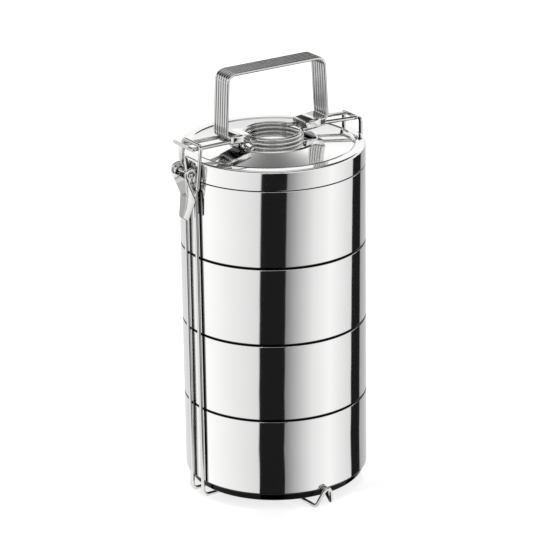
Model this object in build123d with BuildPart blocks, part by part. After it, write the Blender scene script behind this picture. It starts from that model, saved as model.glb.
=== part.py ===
from build123d import *
import os
from math import cos, radians, sin, tan

# Tiffin carrier: four nesting bowls and a lid, held in a cradle of bent wire.
# Millimetres. Z is up, the wires stand on z = 0 and the bowls' axis is X = Y = 0.
# The handle, the latch and the hinge lie in the XZ plane: the latch is on the left, at -X,
# the hinge on the right, at +X, and the front is -Y.

# ---- driving dimensions -------------------------------------------------------
# bowls
bowl_count = 4
bowl_radius = 70.0          # outside of the wall
bowl_pitch = 60.7           # from one seam to the next
sheet = 0.6                 # pressed sheet of bowls and lid
spigot_depth = 5.8          # how far a bowl's foot drops into the bowl below
spigot_gap = 0.6            # radial play of that foot inside the rim
rim_lip = 2.4               # how far a rim turns inwards
rim_curl = 1.2              # outer rounding of that turn
foot_curl = 1.5             # rounding where the wall turns in to the foot

# lid
lid_overhang = 0.1          # the lid stands this far outside the bowls
lid_height = 15.0           # from the seam to the top of its rim
lid_shoulder = 3.0
lid_rim_width = 7.6         # flat rim, from its outside to its inside
lid_groove = 0.6            # pressed line inside the flat rim
plateau_radius = 34.3       # raised disc in the middle
plateau_rise = 3.3          # above the flat rim
plateau_step = 0.9

# wires
cradle_wire = 3.0           # diameter of the side and foot wires
loop_wire = 3.0             # diameter of the two loops of the top frame
link_wire = 2.8
handle_wire = 2.95
handle_wires = 6
handle_pitch = 3.0

# cradle
side_wire_y = 7.6           # the two side wires run at +-this
side_wire_gap = 0.5         # between a side wire and the wall
cradle_bend = 4.5           # centre-line radius at the bottom corners
foot_shift = -5.0           # the front foot stands a little to the left
foot_half = 7.0             # half the distance between a foot's toes
foot_standout = 3.5         # the ears stand this far outside the bowls
foot_knee_in = 12.0         # inside the wall, where the foot wires rise to the base
ear_height = 19.0
foot_end = 10.0             # the foot wires end this far past the middle

# latch
pivot_standout = 6.3        # lever pivot, outside the lid
pivot_rise = 6.2            # and above the lid's seam
pin_radius = 1.5
pin_play = 0.05             # radial running clearance in the wire eyes
pin_head = 2.4
pin_head_thickness = 0.3
pin_end_play = 0.05         # between a pin's head and the cheek
lever_sheet = 0.7
lever_play = 0.2            # between a side wire and a lever cheek
lever_head_play = 0.45      # inside of the rounded head round the wire eyes
web_length = 19.8
web_lean = 22.2             # degrees from upright, foot inwards
tab_length = 16.2
tab_lean = 15.2             # degrees from upright, foot outwards
tab_half_tip = 6.5
tab_corner = 2.5
cheek_inboard = 5.7         # straight inner edge of a cheek, inwards from the pivot
hook_drop = 10.6            # hook notch below the pivot
hook_in = 3.5               # hook notch inwards of the pivot
link_gap = 0.6              # between a lever cheek and the link's leg

# hinge, where the side wires' right ends point into the ends of the right crossbar
hinge_standout = 2.5        # outside the bowls
hinge_rise = 8.0            # above the lid's rim
hinge_leg_y = 11.3
hinge_end_y = 9.7
hinge_bend = 1.55
hinge_bar_end = 9.2

# top frame
arm_y = 7.5                 # arms of a loop
arm_rise = 6.4              # level part of the arms, above the plateau
crossbar_standout = 3.8     # outside the bowls
ear_out = 17.5              # free end of a crossbar, sideways
loop_bend = 2.6
weld_gap = 0.3              # the far arm ends this far from the crossbar
weld_radius = 1.3           # and is butt-welded to it
link_rise = 3.0             # link bar above the crossbar
link_in = 4.6               # link bar inwards of the crossbar
ring_radius = 21.5
ring_inlet = 4.0            # radius where the arms turn into the ring
lower_ring_start = 21.5     # where that turn begins on the loop that lies on the lid
upper_ring_start = 23.5     # and on the loop above it
ring_drop = 1.8             # upper ring below the level arms
step_out = 24.2             # the lower loop steps down just inside its sleeve
step_in = 22.2
step_bend = 2.0
lid_play = 0.05             # lower ring above the lid's plateau

# sleeves
sleeve_inner_end = 25.2
sleeve_outer_end = 41.5
sleeve_sheet = 0.6
sleeve_play = 0.05

# handle
handle_rise = 52.5          # top of the grip above the arms
handle_half_top = 43.5      # outer face of a leg just under the corner
handle_half_foot = 46.0     # outer face of a leg where it turns in
handle_corner = 6.5
handle_foot_bend = 3.0

# ---- derived sizes ------------------------------------------------------------
cradle_r = cradle_wire / 2
loop_r = loop_wire / 2
link_r = link_wire / 2
handle_r = handle_wire / 2

side_z = cradle_r
foot_z = side_z + cradle_wire
base_z = foot_z + cradle_r
first_seam = base_z + spigot_depth
lid_radius = bowl_radius + lid_overhang
lid_rim_inner = lid_radius - lid_rim_width
lid_seam = first_seam + bowl_count * bowl_pitch
lid_top = lid_seam + lid_height
plateau_z = lid_top + plateau_rise
mouth_radius = bowl_radius - rim_lip
spigot_radius = mouth_radius - spigot_gap
foot_reach = bowl_radius + foot_standout
foot_knee = bowl_radius - foot_knee_in

pivot_out = lid_radius + pivot_standout
pivot_z = lid_seam + pivot_rise
hinge_out = bowl_radius + hinge_standout
hinge_z = lid_top + hinge_rise
side_reach = ((lid_radius + side_wire_gap + cradle_r) ** 2 - side_wire_y ** 2) ** 0.5
eye_radius = pin_radius + pin_play + cradle_r
lever_head = pin_radius + pin_play + cradle_wire + lever_head_play + lever_sheet
cheek_inner = side_wire_y + cradle_r + lever_play
cheek_outer = cheek_inner + lever_sheet
link_y = cheek_outer + link_gap + link_r

arm_z = plateau_z + arm_rise
crossbar_out = bowl_radius + crossbar_standout
handle_top = arm_z + handle_rise
lower_ring_z = plateau_z + lid_play + loop_r
upper_ring_z = arm_z - ring_drop
sleeve_tilt = (arm_z - upper_ring_z) / (sleeve_outer_end - step_out)
sleeve_middle = (sleeve_inner_end + sleeve_outer_end) / 2
sleeve_stretch = (1 + sleeve_tilt ** 2) ** 0.5
sleeve_room_z = loop_wire + handle_wire + 3 * sleeve_play
sleeve_room_y = (handle_wires - 1) * handle_pitch + handle_wire + 4 * sleeve_play

os.makedirs("parts", exist_ok=True)


def write(part, name):
    part.label = name
    export_step(part, f"parts/{name}.step")


def turned(part):
    """The same piece for the other side, half a turn round the bowls' axis."""
    with BuildPart() as other:
        add(part.rotate(Axis.Z, 180))
    return other.part


def bent_wire(corners, bends, radius):
    """A round wire along straight runs, with a tangent arc of its own radius at each corner."""
    points = [Vector(*corner) for corner in corners]
    with BuildPart() as wire:
        with BuildLine() as path:
            start = points[0]
            for before, corner, after, bend in zip(points, points[1:], points[2:], bends):
                incoming = (corner - before).normalized()
                outgoing = (after - corner).normalized()
                turn = radians(incoming.get_angle(outgoing))
                reach = bend * tan(turn / 2)
                arc_start = corner - incoming * reach
                arc_end = corner + outgoing * reach
                to_centre = (outgoing - incoming).normalized()
                arc_middle = corner + to_centre * (bend / cos(turn / 2) - bend)
                if (arc_start - start).length > 0.001:
                    Line(start, arc_start)
                ThreePointArc(arc_start, arc_middle, arc_end)
                start = arc_end
            Line(start, points[-1])
        with BuildSketch(path.line ^ 0):
            Circle(radius)
        sweep()
    return wire.part


# ---- bowls --------------------------------------------------------------------
def bowl(seam):
    """One pressed bowl whose wall starts at this seam; its foot drops below it."""
    rim = seam + bowl_pitch
    with BuildPart() as shell:
        with BuildSketch(Plane.XZ) as section:
            with BuildLine():
                Polyline(
                    (0, seam - spigot_depth),
                    (spigot_radius, seam - spigot_depth),
                    (spigot_radius, seam),
                    (bowl_radius, seam),
                    (bowl_radius, rim),
                    (0, rim),
                    close=True,
                )
            make_face()
            wall_foot = section.vertices().filter_by(lambda v: v.X > bowl_radius - 1 and v.Y < rim - 1)
            fillet(wall_foot, foot_curl)
            wall_rim = section.vertices().filter_by(lambda v: v.X > bowl_radius - 1 and v.Y > rim - 1)
            fillet(wall_rim, rim_curl)
            base_edge = section.vertices().filter_by(lambda v: v.X > 1 and v.Y < seam - 1)
            fillet(base_edge, foot_curl)
        revolve(axis=Axis.Z)
        offset(shell.part, amount=-sheet, mode=Mode.SUBTRACT)
        with BuildSketch(Plane.XY.offset(rim)):
            Circle(mouth_radius)
        extrude(amount=-sheet - 1, mode=Mode.SUBTRACT)
    return shell.part


for number in range(bowl_count):
    write(bowl(first_seam + number * bowl_pitch), f"bowl_{number + 1}")

# ---- lid ----------------------------------------------------------------------
with BuildPart() as lid:
    with BuildSketch(Plane.XZ) as lid_section:
        with BuildLine():
            Polyline(
                (0, lid_seam - spigot_depth),
                (spigot_radius, lid_seam - spigot_depth),
                (spigot_radius, lid_seam),
                (lid_radius, lid_seam),
                (lid_radius, lid_top),
                (lid_rim_inner, lid_top),
                (lid_rim_inner - 1.2, lid_top - lid_groove),
                (lid_rim_inner - 2.4, lid_top - lid_groove / 2),
                (plateau_radius, plateau_z - plateau_step),
                (plateau_radius - plateau_step, plateau_z),
                (0, plateau_z),
                close=True,
            )
        make_face()
        skirt_top = lid_section.vertices().filter_by(lambda v: v.X > lid_radius - 1 and v.Y > lid_top - 1)
        fillet(skirt_top, lid_shoulder)
        skirt_foot = lid_section.vertices().filter_by(lambda v: v.X > lid_radius - 1 and v.Y < lid_seam + 1)
        fillet(skirt_foot, foot_curl)
    revolve(axis=Axis.Z)
    offset(amount=-sheet, openings=lid.faces().sort_by(Axis.Z)[0])
write(lid.part, "lid")


# ---- cradle: side wires and feet ------------------------------------------------
def side_wire(y):
    """From an eye round the lever's pivot down the side, under the base and up to the hinge."""
    eye_in = pivot_out - eye_radius
    eye_out = pivot_out + eye_radius
    outward = y / side_wire_y
    left = [
        (-pivot_out + 0.3, y, pivot_z - eye_radius),
        (-eye_out, y, pivot_z - eye_radius),
        (-eye_out, y, pivot_z + eye_radius),
        (-eye_in, y, pivot_z + eye_radius),
        (-eye_in, y, pivot_z - 7),
        (-side_reach, y, pivot_z - 16),
        (-side_reach, y, side_z),
    ]
    right = [
        (side_reach, y, side_z),
        (side_reach, y, hinge_z - 32),
        (hinge_out, hinge_leg_y * outward, hinge_z - 16),
        (hinge_out, hinge_leg_y * outward, hinge_z),
        (hinge_out, hinge_end_y * outward, hinge_z),
    ]
    bends = [eye_radius, eye_radius, eye_radius, 10, 10, cradle_bend, cradle_bend, 10, 10, hinge_bend]
    return bent_wire(left + right, bends, cradle_r)


write(side_wire(-side_wire_y), "side_wire_front")
write(side_wire(side_wire_y), "side_wire_rear")

foot_wire = bent_wire(
    [
        (foot_shift - 25, foot_end, foot_z),
        (foot_shift - foot_half - 4.5, -foot_knee, foot_z),
        (foot_shift - foot_half, -foot_reach, side_z),
        (foot_shift + foot_half - 1.5, -foot_reach, ear_height),
        (foot_shift + foot_half, -foot_reach, side_z),
        (foot_shift + foot_half + 4.5, -foot_knee, foot_z),
        (foot_shift + 25, foot_end, foot_z),
    ],
    [8, 2.4, 3.2, 2.4, 8],
    cradle_r,
)
write(foot_wire, "foot_wire_front")
write(turned(foot_wire), "foot_wire_rear")

# ---- latch lever -----------------------------------------------------------------
# The web is a flat strip that touches the cheeks' round heads and leans inwards to the
# bend; below the bend the strip flares out again as the thumb tab.
web_out = Vector(-cos(radians(web_lean)), -sin(radians(web_lean)))
web_down = Vector(sin(radians(web_lean)), -cos(radians(web_lean)))
tab_out = Vector(-cos(radians(tab_lean)), sin(radians(tab_lean)))
tab_down = Vector(-sin(radians(tab_lean)), -cos(radians(tab_lean)))
pivot = Vector(-pivot_out, pivot_z)
web_head = pivot + web_out * lever_head
web_bend = web_head + web_down * web_length
tab_tip = web_bend + tab_down * tab_length
mitre = (web_out + tab_out) * (lever_sheet / (1 + web_out.dot(tab_out)))
hook = pivot + Vector(hook_in, -hook_drop)

with BuildPart() as lever:
    with BuildSketch(Plane.XZ) as strip:
        with BuildLine():
            Polyline(
                web_head,
                web_bend,
                tab_tip,
                tab_tip - tab_out * lever_sheet,
                web_bend - mitre,
                web_head - web_out * lever_sheet,
                close=True,
            )
        make_face()
        by_height = strip.vertices().sort_by(Axis.Y)
        fillet([v for v in by_height[2:4] if v.X > web_bend.X + 0.1], 3)
        fillet([v for v in strip.vertices() if abs(v.X - web_bend.X) < 0.05 and abs(v.Y - web_bend.Y) < 0.05], 2.3)
    extrude(amount=cheek_outer, both=True)
    with BuildSketch(Plane.YZ.offset(-pivot_out - 15)) as outline:
        with BuildLine():
            Polyline(
                (-cheek_outer, pivot_z + 8),
                (-cheek_outer, web_bend.Y - 1),
                (-tab_half_tip, tab_tip.Y),
                (tab_half_tip, tab_tip.Y),
                (cheek_outer, web_bend.Y - 1),
                (cheek_outer, pivot_z + 8),
                close=True,
            )
        make_face()
        fillet(outline.vertices().sort_by(Axis.Y)[:2], tab_corner)
    extrude(amount=20, mode=Mode.INTERSECT)
    for cheek_face in (cheek_inner, -cheek_outer):
        with BuildSketch(Plane.XZ.offset(cheek_face)):
            with Locations((-pivot_out, pivot_z)):
                Circle(lever_head)
            with BuildLine():
                Polyline(
                    pivot,
                    web_head,
                    web_bend - mitre,
                    (hook.X + 2.4, hook.Y - 3.2),
                    (-pivot_out + cheek_inboard, pivot_z),
                    close=True,
                )
            make_face()
            with Locations((-pivot_out, pivot_z)):
                Circle(pin_radius + pin_play, mode=Mode.SUBTRACT)
            with Locations((hook.X + 0.6, hook.Y)):
                SlotOverall(4.6, 2.6, rotation=20, mode=Mode.SUBTRACT)
        extrude(amount=lever_sheet)
write(lever.part, "lever")

with BuildPart() as pin:
    with BuildSketch(Plane.XZ):
        with Locations((-pivot_out, pivot_z)):
            Circle(pin_radius)
    extrude(amount=cheek_outer + pin_end_play, both=True)
    for head_face in (cheek_outer + pin_end_play, -cheek_outer - pin_end_play - pin_head_thickness):
        with BuildSketch(Plane.XZ.offset(head_face)):
            with Locations((-pivot_out, pivot_z)):
                Circle(pin_head)
        extrude(amount=pin_head_thickness)
write(pin.part, "lever_pin")

# ---- latch link ------------------------------------------------------------------
link_bar = (-crossbar_out + link_in, arm_z + link_rise)
link_end_y = link_y - link_r - 0.1
link = bent_wire(
    [
        (hook.X, -link_end_y, hook.Y),
        (hook.X, -link_y, hook.Y),
        (link_bar[0], -link_y, link_bar[1]),
        (link_bar[0], link_y, link_bar[1]),
        (hook.X, link_y, hook.Y),
        (hook.X, link_end_y, hook.Y),
    ],
    [1.45, 2.6, 2.6, 1.45],
    link_r,
)
write(link, "latch_link")


# ---- top frame ----------------------------------------------------------------------
def frame_loop(ring_z, ring_start, bar_out, bar_z, bar_end):
    """A loop that reaches left: crossbar, two arms through the sleeve and a ring."""
    swing = Vector(1, 0, 0).get_angle(
        Vector(
            (arm_y + ring_inlet) / (ring_radius + ring_inlet),
            (1 - ((arm_y + ring_inlet) / (ring_radius + ring_inlet)) ** 2) ** 0.5,
            0,
        )
    )
    ring_x = -ring_start + (ring_inlet + ring_radius) * sin(radians(swing))
    inlet_x = -ring_start + ring_inlet * tan(radians(swing / 2))
    ring_parts = 4
    part_angle = (180 + 2 * swing) / ring_parts
    tangent_radius = ring_radius / cos(radians(part_angle / 2))
    ring = []
    for number in range(ring_parts):
        angle = radians(90 + swing - (number + 0.5) * part_angle)
        ring.append((ring_x + tangent_radius * cos(angle), tangent_radius * sin(angle), ring_z))
    level = [(-sleeve_outer_end, arm_z), (-step_out, upper_ring_z)]
    arm_bends = [8, step_bend]
    if ring_z < upper_ring_z:
        level.append((-step_in, ring_z))
        arm_bends.append(step_bend)
    rear_arm = [(x, arm_y, z) for x, z in level] + [(inlet_x, arm_y, ring_z)]
    front_arm = [(inlet_x, -arm_y, ring_z)] + [(x, -arm_y, z) for x, z in reversed(level)]
    corners = (
        [(-bar_out + loop_r + weld_gap, arm_y, bar_z)]
        + rear_arm
        + ring
        + front_arm
        + [(-bar_out, -arm_y, bar_z), (-bar_out, bar_end, bar_z)]
    )
    bends = arm_bends + [ring_inlet] + [ring_radius] * ring_parts + [ring_inlet]
    bends += arm_bends[::-1] + [loop_bend]
    with BuildPart() as loop:
        add(bent_wire(corners, bends, loop_r))
        with BuildSketch(Plane.YZ.offset(-bar_out)):
            with Locations((arm_y, bar_z)):
                Circle(weld_radius)
        extrude(amount=loop_r + weld_gap + 1)
    return loop.part


write(frame_loop(lower_ring_z, lower_ring_start, crossbar_out, arm_z, ear_out), "frame_loop_left")
upper_loop = frame_loop(upper_ring_z, upper_ring_start, hinge_out, hinge_z, hinge_bar_end)
with BuildPart() as hinged_loop:
    mirror(upper_loop, about=Plane.YZ)
write(hinged_loop.part, "frame_loop_right")

sleeve_arm_z = arm_z - (sleeve_outer_end - sleeve_middle) * sleeve_tilt
sleeve_centre_z = sleeve_arm_z + (sleeve_room_z / 2 - loop_r - sleeve_play) * sleeve_stretch
sleeve_length = (sleeve_outer_end - sleeve_inner_end) * sleeve_stretch
sleeve_plane = Plane(
    origin=(-sleeve_middle, 0, sleeve_centre_z),
    x_dir=(0, 1, 0),
    z_dir=(-1, 0, sleeve_tilt),
)
with BuildPart() as sleeve:
    with BuildSketch(sleeve_plane):
        RectangleRounded(
            sleeve_room_y + 2 * sleeve_sheet,
            sleeve_room_z + 2 * sleeve_sheet,
            loop_r + sleeve_sheet,
        )
        RectangleRounded(sleeve_room_y, sleeve_room_z, loop_r, mode=Mode.SUBTRACT)
    extrude(amount=sleeve_length / 2, both=True)
write(sleeve.part, "sleeve_left")
write(turned(sleeve.part), "sleeve_right")

# ---- handle ---------------------------------------------------------------------------
handle_lift = (loop_r + handle_r + sleeve_play) * sleeve_stretch


def handle_rod(y):
    """One wire of the handle: from inside one sleeve, up, across and down into the other."""
    def sleeve_z(x):
        return arm_z + (x - sleeve_outer_end) * sleeve_tilt + handle_lift

    foot = handle_half_foot - handle_r
    half = [
        (sleeve_inner_end + 1, sleeve_z(sleeve_inner_end + 1)),
        (foot, sleeve_z(foot)),
        (handle_half_top - handle_r, handle_top - handle_r),
    ]
    left = [(-x, y, z) for x, z in half]
    right = [(x, y, z) for x, z in reversed(half)]
    bends = [handle_foot_bend, handle_corner, handle_corner, handle_foot_bend]
    return bent_wire(left + right, bends, handle_r)


for number in range(handle_wires):
    offset_y = (number - (handle_wires - 1) / 2) * handle_pitch
    write(handle_rod(offset_y), f"handle_wire_{number + 1}")
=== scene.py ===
import math

import bmesh
import bpy
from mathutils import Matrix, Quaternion, Vector


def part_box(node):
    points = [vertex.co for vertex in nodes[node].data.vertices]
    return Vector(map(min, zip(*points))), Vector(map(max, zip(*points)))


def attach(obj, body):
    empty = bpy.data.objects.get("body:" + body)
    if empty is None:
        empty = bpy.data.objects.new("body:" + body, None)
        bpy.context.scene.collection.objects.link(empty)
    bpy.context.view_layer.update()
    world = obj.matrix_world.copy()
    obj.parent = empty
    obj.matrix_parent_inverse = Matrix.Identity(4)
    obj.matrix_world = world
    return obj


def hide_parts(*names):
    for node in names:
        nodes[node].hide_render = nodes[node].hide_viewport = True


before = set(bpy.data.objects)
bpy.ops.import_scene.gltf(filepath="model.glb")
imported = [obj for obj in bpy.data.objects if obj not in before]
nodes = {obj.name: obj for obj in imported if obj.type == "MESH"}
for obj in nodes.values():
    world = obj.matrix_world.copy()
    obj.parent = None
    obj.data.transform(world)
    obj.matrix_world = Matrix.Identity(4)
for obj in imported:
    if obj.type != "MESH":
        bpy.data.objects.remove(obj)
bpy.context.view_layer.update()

# ---- camera -------------------------------------------------------------------
# A long lens set well back and a little above the lid, turned to the left of the
# carrier's front, so that the latch faces it and the handle runs away from it.
lens = bpy.data.cameras.new("studio_camera")
lens.lens = 190
lens.sensor_width = 36
lens.clip_end = 50
camera = bpy.data.objects.new("studio_camera", lens)
bpy.context.scene.collection.objects.link(camera)
camera.location = (-1.1293, -1.7726, 0.9513)
aim = Vector((0.0039, -0.0025, 0.1594)) - camera.location
tilt = Quaternion((0, 0, 1), -0.0142)
camera.rotation_euler = (aim.to_track_quat("-Z", "Y") @ tilt).to_euler()
bpy.context.scene.camera = camera
toward_camera = math.atan2(camera.location.y, camera.location.x)

# ---- floor ----------------------------------------------------------------------
# The carrier stands on a wide flat sheet of white acrylic with a faint gloss, which
# glows a little, as a light table does, so that hardly a shadow shows on it.
floor_radius = 14

sweep_mesh = bpy.data.meshes.new("sweep")
shape = bmesh.new()
bmesh.ops.create_circle(shape, cap_ends=True, radius=floor_radius, segments=96)
shape.to_mesh(sweep_mesh)
shape.free()
sweep = bpy.data.objects.new("sweep", sweep_mesh)
bpy.context.scene.collection.objects.link(sweep)

paper = bpy.data.materials.new("white_paper")
paper.use_nodes = True
paper_shader = paper.node_tree.nodes["Principled BSDF"]
paper_shader.inputs["Base Color"].default_value = (0.16, 0.16, 0.16, 1)
paper_shader.inputs["Roughness"].default_value = 0.04
paper_shader.inputs["Specular IOR Level"].default_value = 0.22
paper_shader.inputs["Emission Color"].default_value = (1, 1, 1, 1)
paper_shader.inputs["Emission Strength"].default_value = 0.78
sweep_mesh.materials.append(paper)


# ---- room -----------------------------------------------------------------------
# The room is white and even. What the steel reflects of it is stronger: bright walls
# from the floor up, a dark ceiling above them, and a soft overhead light in its middle.
def grey(level):
    """A neutral colour of this brightness."""
    return (level, level, level, 1)


def set_steps(ramp, steps):
    """Gives a colour ramp its greys, from (position, brightness) pairs."""
    marks = ramp.color_ramp.elements
    while len(marks) < len(steps):
        marks.new(0.5)
    for mark, (position, level) in zip(marks, steps):
        mark.position = position
        mark.color = grey(level)


# position on the ramp is the sine of the height angle, from the horizon to the zenith
wall_steps = [
    (0.0, 0.75), (0.18, 0.92), (0.38, 1.16), (0.45, 1.1),
    (0.51, 0.10), (0.60, 0.03), (0.80, 0.05),
    (0.87, 0.55), (1.0, 0.9),
]

bpy.context.scene.view_settings.view_transform = "Standard"
room = bpy.data.worlds.new("white_room")
bpy.context.scene.world = room
room.use_nodes = True
tree = room.node_tree
even_light = tree.nodes["Background"]
even_light.inputs["Color"].default_value = grey(1)
even_light.inputs["Strength"].default_value = 1.25
walls = tree.nodes.new("ShaderNodeBackground")
heading = tree.nodes.new("ShaderNodeTexCoord")
height = tree.nodes.new("ShaderNodeSeparateXYZ")
wall_shade = tree.nodes.new("ShaderNodeValToRGB")
set_steps(wall_shade, wall_steps)
ray = tree.nodes.new("ShaderNodeLightPath")
choose = tree.nodes.new("ShaderNodeMixShader")
tree.links.new(heading.outputs["Generated"], height.inputs["Vector"])
tree.links.new(height.outputs["Z"], wall_shade.inputs["Fac"])
tree.links.new(wall_shade.outputs["Color"], walls.inputs["Color"])
tree.links.new(ray.outputs["Is Glossy Ray"], choose.inputs["Fac"])
tree.links.new(even_light.outputs["Background"], choose.inputs[1])
tree.links.new(walls.outputs["Background"], choose.inputs[2])
tree.links.new(choose.outputs["Shader"], tree.nodes["World Output"].inputs["Surface"])


# ---- lamps ----------------------------------------------------------------------
# Three wide soft boxes, one over the carrier and one to each side. They light the floor
# and take no part in the reflections, which would show their outlines on the steel.
def soft_lamp(name, place, target, size, power):
    """A square soft box that faces the carrier."""
    light = bpy.data.lights.new(name, "AREA")
    light.shape = "RECTANGLE"
    light.size = size
    light.size_y = size
    light.energy = power
    lamp = bpy.data.objects.new(name, light)
    bpy.context.scene.collection.objects.link(lamp)
    lamp.location = place
    lamp.rotation_euler = (Vector(target) - Vector(place)).to_track_quat("-Z", "Y").to_euler()
    lamp.visible_glossy = False


soft_lamp("lamp_over", (0.2, 0.3, 2.6), (0, 0, 0.1), 2.4, 60)
soft_lamp("lamp_left", (-2.4, -0.2, 1.2), (0, 0, 0.15), 1.6, 16)
soft_lamp("lamp_right", (1.6, -2.0, 1.3), (0, 0, 0.15), 1.6, 16)


# ---- reflection cards -----------------------------------------------------------
# Round the foot of the carrier lies a fan of cards that only the polished steel sees.
# Three are black, in front, far right and far left, and put the dark upright bands on
# the bowls. The others fade between grey and white.
def show_in_steel_only(card):
    """A card is left out of the view and throws no light or shadow, so only gloss shows it."""
    bpy.context.scene.collection.objects.link(card)
    card.visible_camera = False
    card.visible_diffuse = False
    card.visible_shadow = False
    card.visible_transmission = False


# degrees round the carrier's wall, from the side that faces the camera, and brightness
card_steps = [
    (-90, 0.85), (-63, 0.75), (-62.5, 0.013), (-60, 0.013), (-59.5, 1.0), (-45, 1.15),
    (-9, 0.82), (-8.5, 0.013), (7, 0.013), (7.5, 0.25), (15, 0.55), (25, 0.9), (37, 1.08),
    (56.5, 0.8), (57, 0.013), (68, 0.013), (68.5, 0.43), (88, 0.75),
]
card_height = 0.0004
fan_inside = 0.0702     # just outside the bowls
fan_length = 2.25
fan_rows = 20
fan_half = 88           # degrees to each side
fan_columns = 88
lean_near = -3.1        # degrees that the cards' inner ends are turned,
lean_far = 2.5          # and their other ends, so that the bands stand upright
lean_length = 0.9       # from the inner end to where lean_far is reached
lean_most = 1.3         # share of the lean where it stops growing

fan_mesh = bpy.data.meshes.new("card_fan")
shape = bmesh.new()
shape.loops.layers.uv.new("UVMap")
bmesh.ops.create_grid(shape, x_segments=fan_rows, y_segments=fan_columns, size=0.5, calc_uvs=True)
for corner in shape.verts:
    reach = fan_length * (corner.co.x + 0.5)
    lean = lean_near + (lean_far - lean_near) * min(reach / lean_length, lean_most)
    turn = math.radians(2 * fan_half * corner.co.y + lean)
    wall_angle = toward_camera + turn
    card_angle = toward_camera + 2 * turn
    corner.co = (
        fan_inside * math.cos(wall_angle) + reach * math.cos(card_angle),
        fan_inside * math.sin(wall_angle) + reach * math.sin(card_angle),
        card_height,
    )
shape.to_mesh(fan_mesh)
shape.free()
fan = bpy.data.objects.new("card_fan", fan_mesh)
show_in_steel_only(fan)

card_grey = bpy.data.materials.new("card_grey")
card_grey.use_nodes = True
tree = card_grey.node_tree
tree.nodes.clear()
across_fan = tree.nodes.new("ShaderNodeUVMap")
across_fan.uv_map = "UVMap"
split = tree.nodes.new("ShaderNodeSeparateXYZ")
card_shade = tree.nodes.new("ShaderNodeValToRGB")
set_steps(card_shade, [(max(0, 0.5 + degrees / (2 * fan_half)), level) for degrees, level in card_steps])
glow = tree.nodes.new("ShaderNodeEmission")
surface = tree.nodes.new("ShaderNodeOutputMaterial")
tree.links.new(across_fan.outputs["UV"], split.inputs["Vector"])
tree.links.new(split.outputs["Y"], card_shade.inputs["Fac"])
tree.links.new(card_shade.outputs["Color"], glow.inputs["Color"])
tree.links.new(glow.outputs["Emission"], surface.inputs["Surface"])
fan_mesh.materials.append(card_grey)

# a low black panel behind the camera carries the front band on, over the lid's shoulder
panel_width = 1.5
panel_height = 0.6
panel_distance = 3.0

panel_mesh = bpy.data.meshes.new("black_panel")
shape = bmesh.new()
bmesh.ops.create_grid(shape, x_segments=1, y_segments=1, size=0.5)
shape.to_mesh(panel_mesh)
shape.free()
panel = bpy.data.objects.new("black_panel", panel_mesh)
panel.scale = (panel_width, panel_height, 1)
panel.location = (
    panel_distance * math.cos(toward_camera),
    panel_distance * math.sin(toward_camera),
    panel_height / 2,
)
panel.rotation_euler = (math.pi / 2, 0, toward_camera + math.pi / 2)
show_in_steel_only(panel)

black_cloth = bpy.data.materials.new("black_cloth")
black_cloth.use_nodes = True
cloth_shader = black_cloth.node_tree.nodes["Principled BSDF"]
cloth_shader.inputs["Base Color"].default_value = grey(0.012)
cloth_shader.inputs["Roughness"].default_value = 0.9
panel_mesh.materials.append(black_cloth)


# ---- cradle ---------------------------------------------------------------------
# Two long wires of hard stainless steel hold the stack: each is bent into an eye round
# the lever pin, runs down the left side, under the base and up the right side to the
# hinge. Two foot wires are spot-welded across them.
def wire_steel(name, brightness, roughness, grain_scale):
    """Drawn stainless wire or cut strip: bright, with a fine grain in its gloss and tint."""
    steel = bpy.data.materials.new(name)
    steel.use_nodes = True
    tree = steel.node_tree
    shader = tree.nodes["Principled BSDF"]
    shader.inputs["Metallic"].default_value = 1
    place = tree.nodes.new("ShaderNodeTexCoord")
    grain = tree.nodes.new("ShaderNodeTexNoise")
    grain.inputs["Scale"].default_value = grain_scale
    grain.inputs["Detail"].default_value = 6
    tree.links.new(place.outputs["Object"], grain.inputs["Vector"])
    gloss = tree.nodes.new("ShaderNodeMapRange")
    gloss.inputs["To Min"].default_value = roughness * 0.75
    gloss.inputs["To Max"].default_value = roughness * 1.3
    tree.links.new(grain.outputs["Fac"], gloss.inputs["Value"])
    tree.links.new(gloss.outputs["Result"], shader.inputs["Roughness"])
    tint = tree.nodes.new("ShaderNodeMix")
    tint.data_type = "RGBA"
    tint.inputs[6].default_value = (brightness, brightness, brightness * 0.99, 1)
    tint.inputs[7].default_value = (brightness * 0.9, brightness * 0.9, brightness * 0.89, 1)
    tree.links.new(grain.outputs["Fac"], tint.inputs[0])
    tree.links.new(tint.outputs[2], shader.inputs["Base Color"])
    ripple = tree.nodes.new("ShaderNodeBump")
    ripple.inputs["Strength"].default_value = 0.04
    ripple.inputs["Distance"].default_value = 0.0001
    tree.links.new(grain.outputs["Fac"], ripple.inputs["Height"])
    tree.links.new(ripple.outputs["Normal"], shader.inputs["Normal"])
    return steel


def read_axes(steel, output):
    """The X, Y and Z of a piece's own coordinates ("Object") or of its surface's direction ("Normal")."""
    tree = steel.node_tree
    axes = tree.nodes.new("ShaderNodeSeparateXYZ")
    tree.links.new(tree.nodes["Texture Coordinate"].outputs[output], axes.inputs["Vector"])
    return axes.outputs


def calculate(steel, operation, first, second=None):
    """One step of arithmetic on a measure; the second term may be a number or a measure."""
    tree = steel.node_tree
    step = tree.nodes.new("ShaderNodeMath")
    step.operation = operation
    tree.links.new(first, step.inputs[0])
    if isinstance(second, (int, float)):
        step.inputs[1].default_value = second
    elif second is not None:
        tree.links.new(second, step.inputs[1])
    return step.outputs["Value"]


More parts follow.
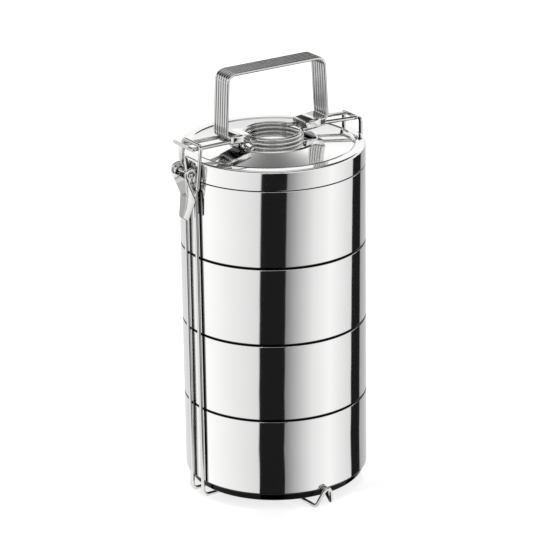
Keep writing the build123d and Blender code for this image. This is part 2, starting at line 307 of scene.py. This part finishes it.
def paint_shade(steel, measure, shaded_at, unshaded_at):
    """Paints shade into the steel's colour: it is darkened where a measure says."""
    tree = steel.node_tree
    shader = tree.nodes["Principled BSDF"]
    polished = shader.inputs["Base Color"].links[0].from_socket
    unshaded = tree.nodes.new("ShaderNodeMapRange")
    unshaded.inputs["From Min"].default_value = shaded_at
    unshaded.inputs["From Max"].default_value = unshaded_at
    tree.links.new(measure, unshaded.inputs["Value"])
    # painted shade: near-black mixed into the colour
    shade_mix = tree.nodes.new("ShaderNodeMix")
    shade_mix.data_type = "RGBA"
    shade_mix.inputs[6].default_value = grey(0.02)
    tree.links.new(unshaded.outputs["Result"], shade_mix.inputs[0])
    tree.links.new(polished, shade_mix.inputs[7])
    tree.links.new(shade_mix.outputs[2], shader.inputs["Base Color"])


def finish_cad_piece(name, material):
    """A piece whose shape the frame already has gets its metal and rounded shading."""
    piece = nodes[name]
    piece.data.materials.clear()
    piece.data.materials.append(material)
    weld = piece.modifiers.new("weld", "WELD")
    weld.merge_threshold = 0.000002
    for face in piece.data.polygons:
        face.use_smooth = True


drawn_wire = wire_steel("drawn_wire", 0.70, 0.05, 900)
cradle_steel = wire_steel("cradle_wire", 0.76, 0.06, 900)
# painted shade: the side wires' inner sides, which face the bowls, are darkened in the colour
side = calculate(cradle_steel, "SIGN", read_axes(cradle_steel, "Object")["X"])
outward = calculate(cradle_steel, "MULTIPLY", side, read_axes(cradle_steel, "Normal")["X"])
paint_shade(cradle_steel, outward, shaded_at=-0.6, unshaded_at=-0.35)

for name in ("side_wire_front", "side_wire_rear", "foot_wire_front", "foot_wire_rear"):
    finish_cad_piece(name, cradle_steel)
finish_cad_piece("lever_pin", drawn_wire)

# ---- bowls ----------------------------------------------------------------------
# Four bowls pressed from thin stainless sheet and polished to a mirror outside. Each
# one's stepped foot sits in the turned-in rim of the bowl below.
bowl_radius = 0.07
foot_radius = 0.067
mouth_radius = 0.0676
bowl_sheet = 0.0006
foot_depth = 0.0058
foot_rounding = 0.0015
wall_rounding = 0.0015
step_rounding = 0.0006
rim_rounding = 0.0012
lowest_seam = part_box("bowl_1")[0].z + foot_depth
bowl_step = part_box("bowl_2")[0].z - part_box("bowl_1")[0].z
seam_shade_fade = 1.25        # painted seam shade: the steel is unshaded this many times as far from a seam as it is dark


def polished_steel(name, shade_above, shade_below):
    """Mirror-polished sheet with fine hoops from the wheel, with painted shade at the seams and on the
    bottom bowl's foot.
    """
    steel = bpy.data.materials.new(name)
    steel.use_nodes = True
    tree = steel.node_tree
    shader = tree.nodes["Principled BSDF"]
    shader.inputs["Metallic"].default_value = 1
    place = tree.nodes.new("ShaderNodeTexCoord")

    squeeze = tree.nodes.new("ShaderNodeMapping")
    squeeze.inputs["Scale"].default_value = (6, 6, 900)
    hoops = tree.nodes.new("ShaderNodeTexNoise")
    hoops.inputs["Scale"].default_value = 4
    hoops.inputs["Detail"].default_value = 5
    tree.links.new(place.outputs["Object"], squeeze.inputs["Vector"])
    tree.links.new(squeeze.outputs["Vector"], hoops.inputs["Vector"])
    gloss = tree.nodes.new("ShaderNodeMapRange")
    gloss.inputs["To Min"].default_value = 0.03
    gloss.inputs["To Max"].default_value = 0.09
    tree.links.new(hoops.outputs["Fac"], gloss.inputs["Value"])
    tree.links.new(gloss.outputs["Result"], shader.inputs["Roughness"])
    ripple = tree.nodes.new("ShaderNodeBump")
    ripple.inputs["Strength"].default_value = 0.012
    ripple.inputs["Distance"].default_value = 0.0002
    tree.links.new(hoops.outputs["Fac"], ripple.inputs["Height"])
    tree.links.new(ripple.outputs["Normal"], shader.inputs["Normal"])

    clouds = tree.nodes.new("ShaderNodeTexNoise")
    clouds.inputs["Scale"].default_value = 22
    clouds.inputs["Detail"].default_value = 3
    tree.links.new(place.outputs["Object"], clouds.inputs["Vector"])
    tint = tree.nodes.new("ShaderNodeMix")
    tint.data_type = "RGBA"
    tint.inputs[6].default_value = (0.88, 0.88, 0.875, 1)
    tint.inputs[7].default_value = (0.83, 0.83, 0.825, 1)
    tree.links.new(clouds.outputs["Fac"], tint.inputs[0])

    above_seam = calculate(steel, "SUBTRACT", read_axes(steel, "Object")["Z"], lowest_seam)
    bowls_up = calculate(steel, "DIVIDE", above_seam, bowl_step)
    no_lower = calculate(steel, "MAXIMUM", bowls_up, 0)
    share_of_bowl = calculate(steel, "FRACT", no_lower)
    above = shade_above / bowl_step
    below = shade_below / bowl_step
    unshaded = tree.nodes.new("ShaderNodeValToRGB")
    set_steps(unshaded, [
        (0, 0), (above, 0), (above * seam_shade_fade, 1),
        (1 - below * seam_shade_fade, 1), (1 - below, 0), (1, 0),
    ])
    tree.links.new(share_of_bowl, unshaded.inputs["Fac"])
    shade_mix = tree.nodes.new("ShaderNodeMix")
    shade_mix.data_type = "RGBA"
    # painted shade: near-black colour in bands at the seam heights
    shade_mix.inputs[6].default_value = grey(0.012)
    tree.links.new(unshaded.outputs["Color"], shade_mix.inputs[0])
    tree.links.new(tint.outputs[2], shade_mix.inputs[7])
    tree.links.new(shade_mix.outputs[2], shader.inputs["Base Color"])
    return steel


def on_hoop(edge, radius, height):
    """True for an edge of the ring that a profile's corner has drawn."""
    return all(
        abs(end.co.z - height) < 1e-6 and abs(math.hypot(end.co.x, end.co.y) - radius) < 1e-5
        for end in edge.verts
    )


def pressed_sheet(name, profile, roundings, material):
    """A shell spun from (radius, height) corners; roundings pairs corner numbers with a radius."""
    shape = bmesh.new()
    corners = [shape.verts.new((radius, 0, height)) for radius, height in profile]
    for start, end in zip(corners, corners[1:]):
        shape.edges.new((start, end))
    bmesh.ops.spin(
        shape, geom=shape.verts[:] + shape.edges[:], cent=(0, 0, 0), axis=(0, 0, 1),
        angle=math.tau, steps=192, use_merge=True,
    )
    bmesh.ops.remove_doubles(shape, verts=shape.verts, dist=0.000005)
    bmesh.ops.recalc_face_normals(shape, faces=shape.faces)
    for number, size in roundings:
        hoop = [edge for edge in shape.edges if on_hoop(edge, *profile[number])]
        bmesh.ops.bevel(
            shape, geom=hoop, offset=size, offset_type="OFFSET", segments=6, profile=0.5,
            affect="EDGES", material=-1, clamp_overlap=False,
        )
    for face in shape.faces:
        face.smooth = True
    mesh = bpy.data.meshes.new(name)
    shape.to_mesh(mesh)
    shape.free()
    mesh.materials.append(material)
    piece = bpy.data.objects.new(name, mesh)
    bpy.context.scene.collection.objects.link(piece)
    wall = piece.modifiers.new("sheet_thickness", "SOLIDIFY")
    wall.thickness = bowl_sheet
    wall.offset = -1
    wall.use_even_offset = True
    shading = piece.modifiers.new("even_shading", "WEIGHTED_NORMAL")
    shading.weight = 100
    return piece


# the bowls get painted shade just above and below each seam
bowl_steel = polished_steel("bowl_steel", shade_above=0.0013, shade_below=0.0007)
for number in range(1, 5):
    low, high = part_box(f"bowl_{number}")
    seam = low.z + foot_depth
    bowl = pressed_sheet(
        f"bowl_{number}_pressed",
        [
            (0, low.z), (foot_radius, low.z), (foot_radius, seam), (bowl_radius, seam),
            (bowl_radius, high.z), (mouth_radius, high.z),
        ],
        [(1, foot_rounding), (2, step_rounding), (3, wall_rounding), (4, rim_rounding)],
        bowl_steel,
    )
    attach(bowl, f"bowl_{number}")
    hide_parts(f"bowl_{number}")

# ---- lid ------------------------------------------------------------------------
# One polished pressing: a collar that drops into the top bowl, a deep skirt, a flat rim
# with a pressed line inside it, and a low cone that steps up to a round plateau.
lid_radius = 0.0701
lid_height = 0.015          # from the seam to the flat rim
rim_inside = 0.0625
line_radius = 0.0613        # the pressed line, and its depth below the rim
line_depth = 0.0006
cone_radius = 0.0601
cone_depth = 0.0003
plateau_foot = 0.0343
plateau_radius = 0.0334
plateau_step = 0.0009
skirt_rounding = 0.0004
shoulder_rounding = 0.0018
line_rounding = 0.0003
plateau_rounding = 0.0004

# the lid gets the same painted seam shade
lid_steel = polished_steel("lid_steel", shade_above=0.0001, shade_below=0.0005)
low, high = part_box("lid")
seam = low.z + foot_depth
rim = seam + lid_height
lid = pressed_sheet(
    "lid_pressed",
    [
        (foot_radius, low.z), (foot_radius, seam), (lid_radius, seam), (lid_radius, rim),
        (rim_inside, rim), (line_radius, rim - line_depth), (cone_radius, rim - cone_depth),
        (plateau_foot, high.z - plateau_step), (plateau_radius, high.z), (0, high.z),
    ],
    [
        (1, step_rounding), (2, skirt_rounding), (3, shoulder_rounding),
        (4, line_rounding), (5, line_rounding), (6, line_rounding),
        (7, plateau_rounding), (8, plateau_rounding),
    ],
    lid_steel,
)
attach(lid, "lid")
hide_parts("lid")

# ---- latch ----------------------------------------------------------------------
# A folded sheet lever turns on a pin through the side wires' eyes, and a U-shaped wire
# link hangs over the top frame and hooks into the lever's notches. The lever's side that
# faces the bowls is darkened with painted shade.
lever_steel = wire_steel("lever_sheet", 0.78, 0.16, 500)
# painted shade on the lever's side that faces the bowls
paint_shade(lever_steel, read_axes(lever_steel, "Normal")["X"], shaded_at=0.6, unshaded_at=0.25)
finish_cad_piece("lever", lever_steel)
finish_cad_piece("latch_link", drawn_wire)

# ---- top frame ------------------------------------------------------------------
# Two wire loops lie across the lid, ring over ring in the middle. Their outer ends make
# the crossbars, which carry the latch link on the left and turn in the hinge on the right.
for name in ("frame_loop_left", "frame_loop_right"):
    finish_cad_piece(name, drawn_wire)

# ---- sleeves --------------------------------------------------------------------
# Two folded sheet sleeves clamp the loops' arms to the ends of the handle. They are
# polished, with painted shade on their undersides.
sleeve_steel = wire_steel("sleeve_sheet", 0.86, 0.08, 500)
# painted shade: faces that point downwards are darkened in the colour
paint_shade(sleeve_steel, read_axes(sleeve_steel, "Normal")["Z"], shaded_at=-0.75, unshaded_at=-0.35)
for name in ("sleeve_left", "sleeve_right"):
    finish_cad_piece(name, sleeve_steel)

# ---- handle ---------------------------------------------------------------------
# Six wires side by side make the strap handle. The gaps between them get painted shade,
# and the outer flanks of the two outermost wires are left as bright as their tops.
handle_pitch = 0.003
outer_wire = 2.5 * handle_pitch     # middle of the outermost wires
gap_shade_core = 0.0003025                # half-width of a gap's painted shade core
gap_shade_edge = 0.00055                 # and of its soft edge

handle_steel = wire_steel("handle_wire", 0.66, 0.10, 1200)
tree = handle_steel.node_tree
between_outer_wires = tree.nodes.new("ShaderNodeClamp")
between_outer_wires.inputs["Min"].default_value = -outer_wire
between_outer_wires.inputs["Max"].default_value = outer_wire
tree.links.new(read_axes(handle_steel, "Object")["Y"], between_outer_wires.inputs["Value"])
from_gap = calculate(handle_steel, "PINGPONG", between_outer_wires.outputs["Result"], handle_pitch / 2)
# painted shade in the gaps between the handle wires
paint_shade(handle_steel, from_gap, shaded_at=gap_shade_core, unshaded_at=gap_shade_edge)
for number in range(1, 7):
    finish_cad_piece(f"handle_wire_{number}", handle_steel)
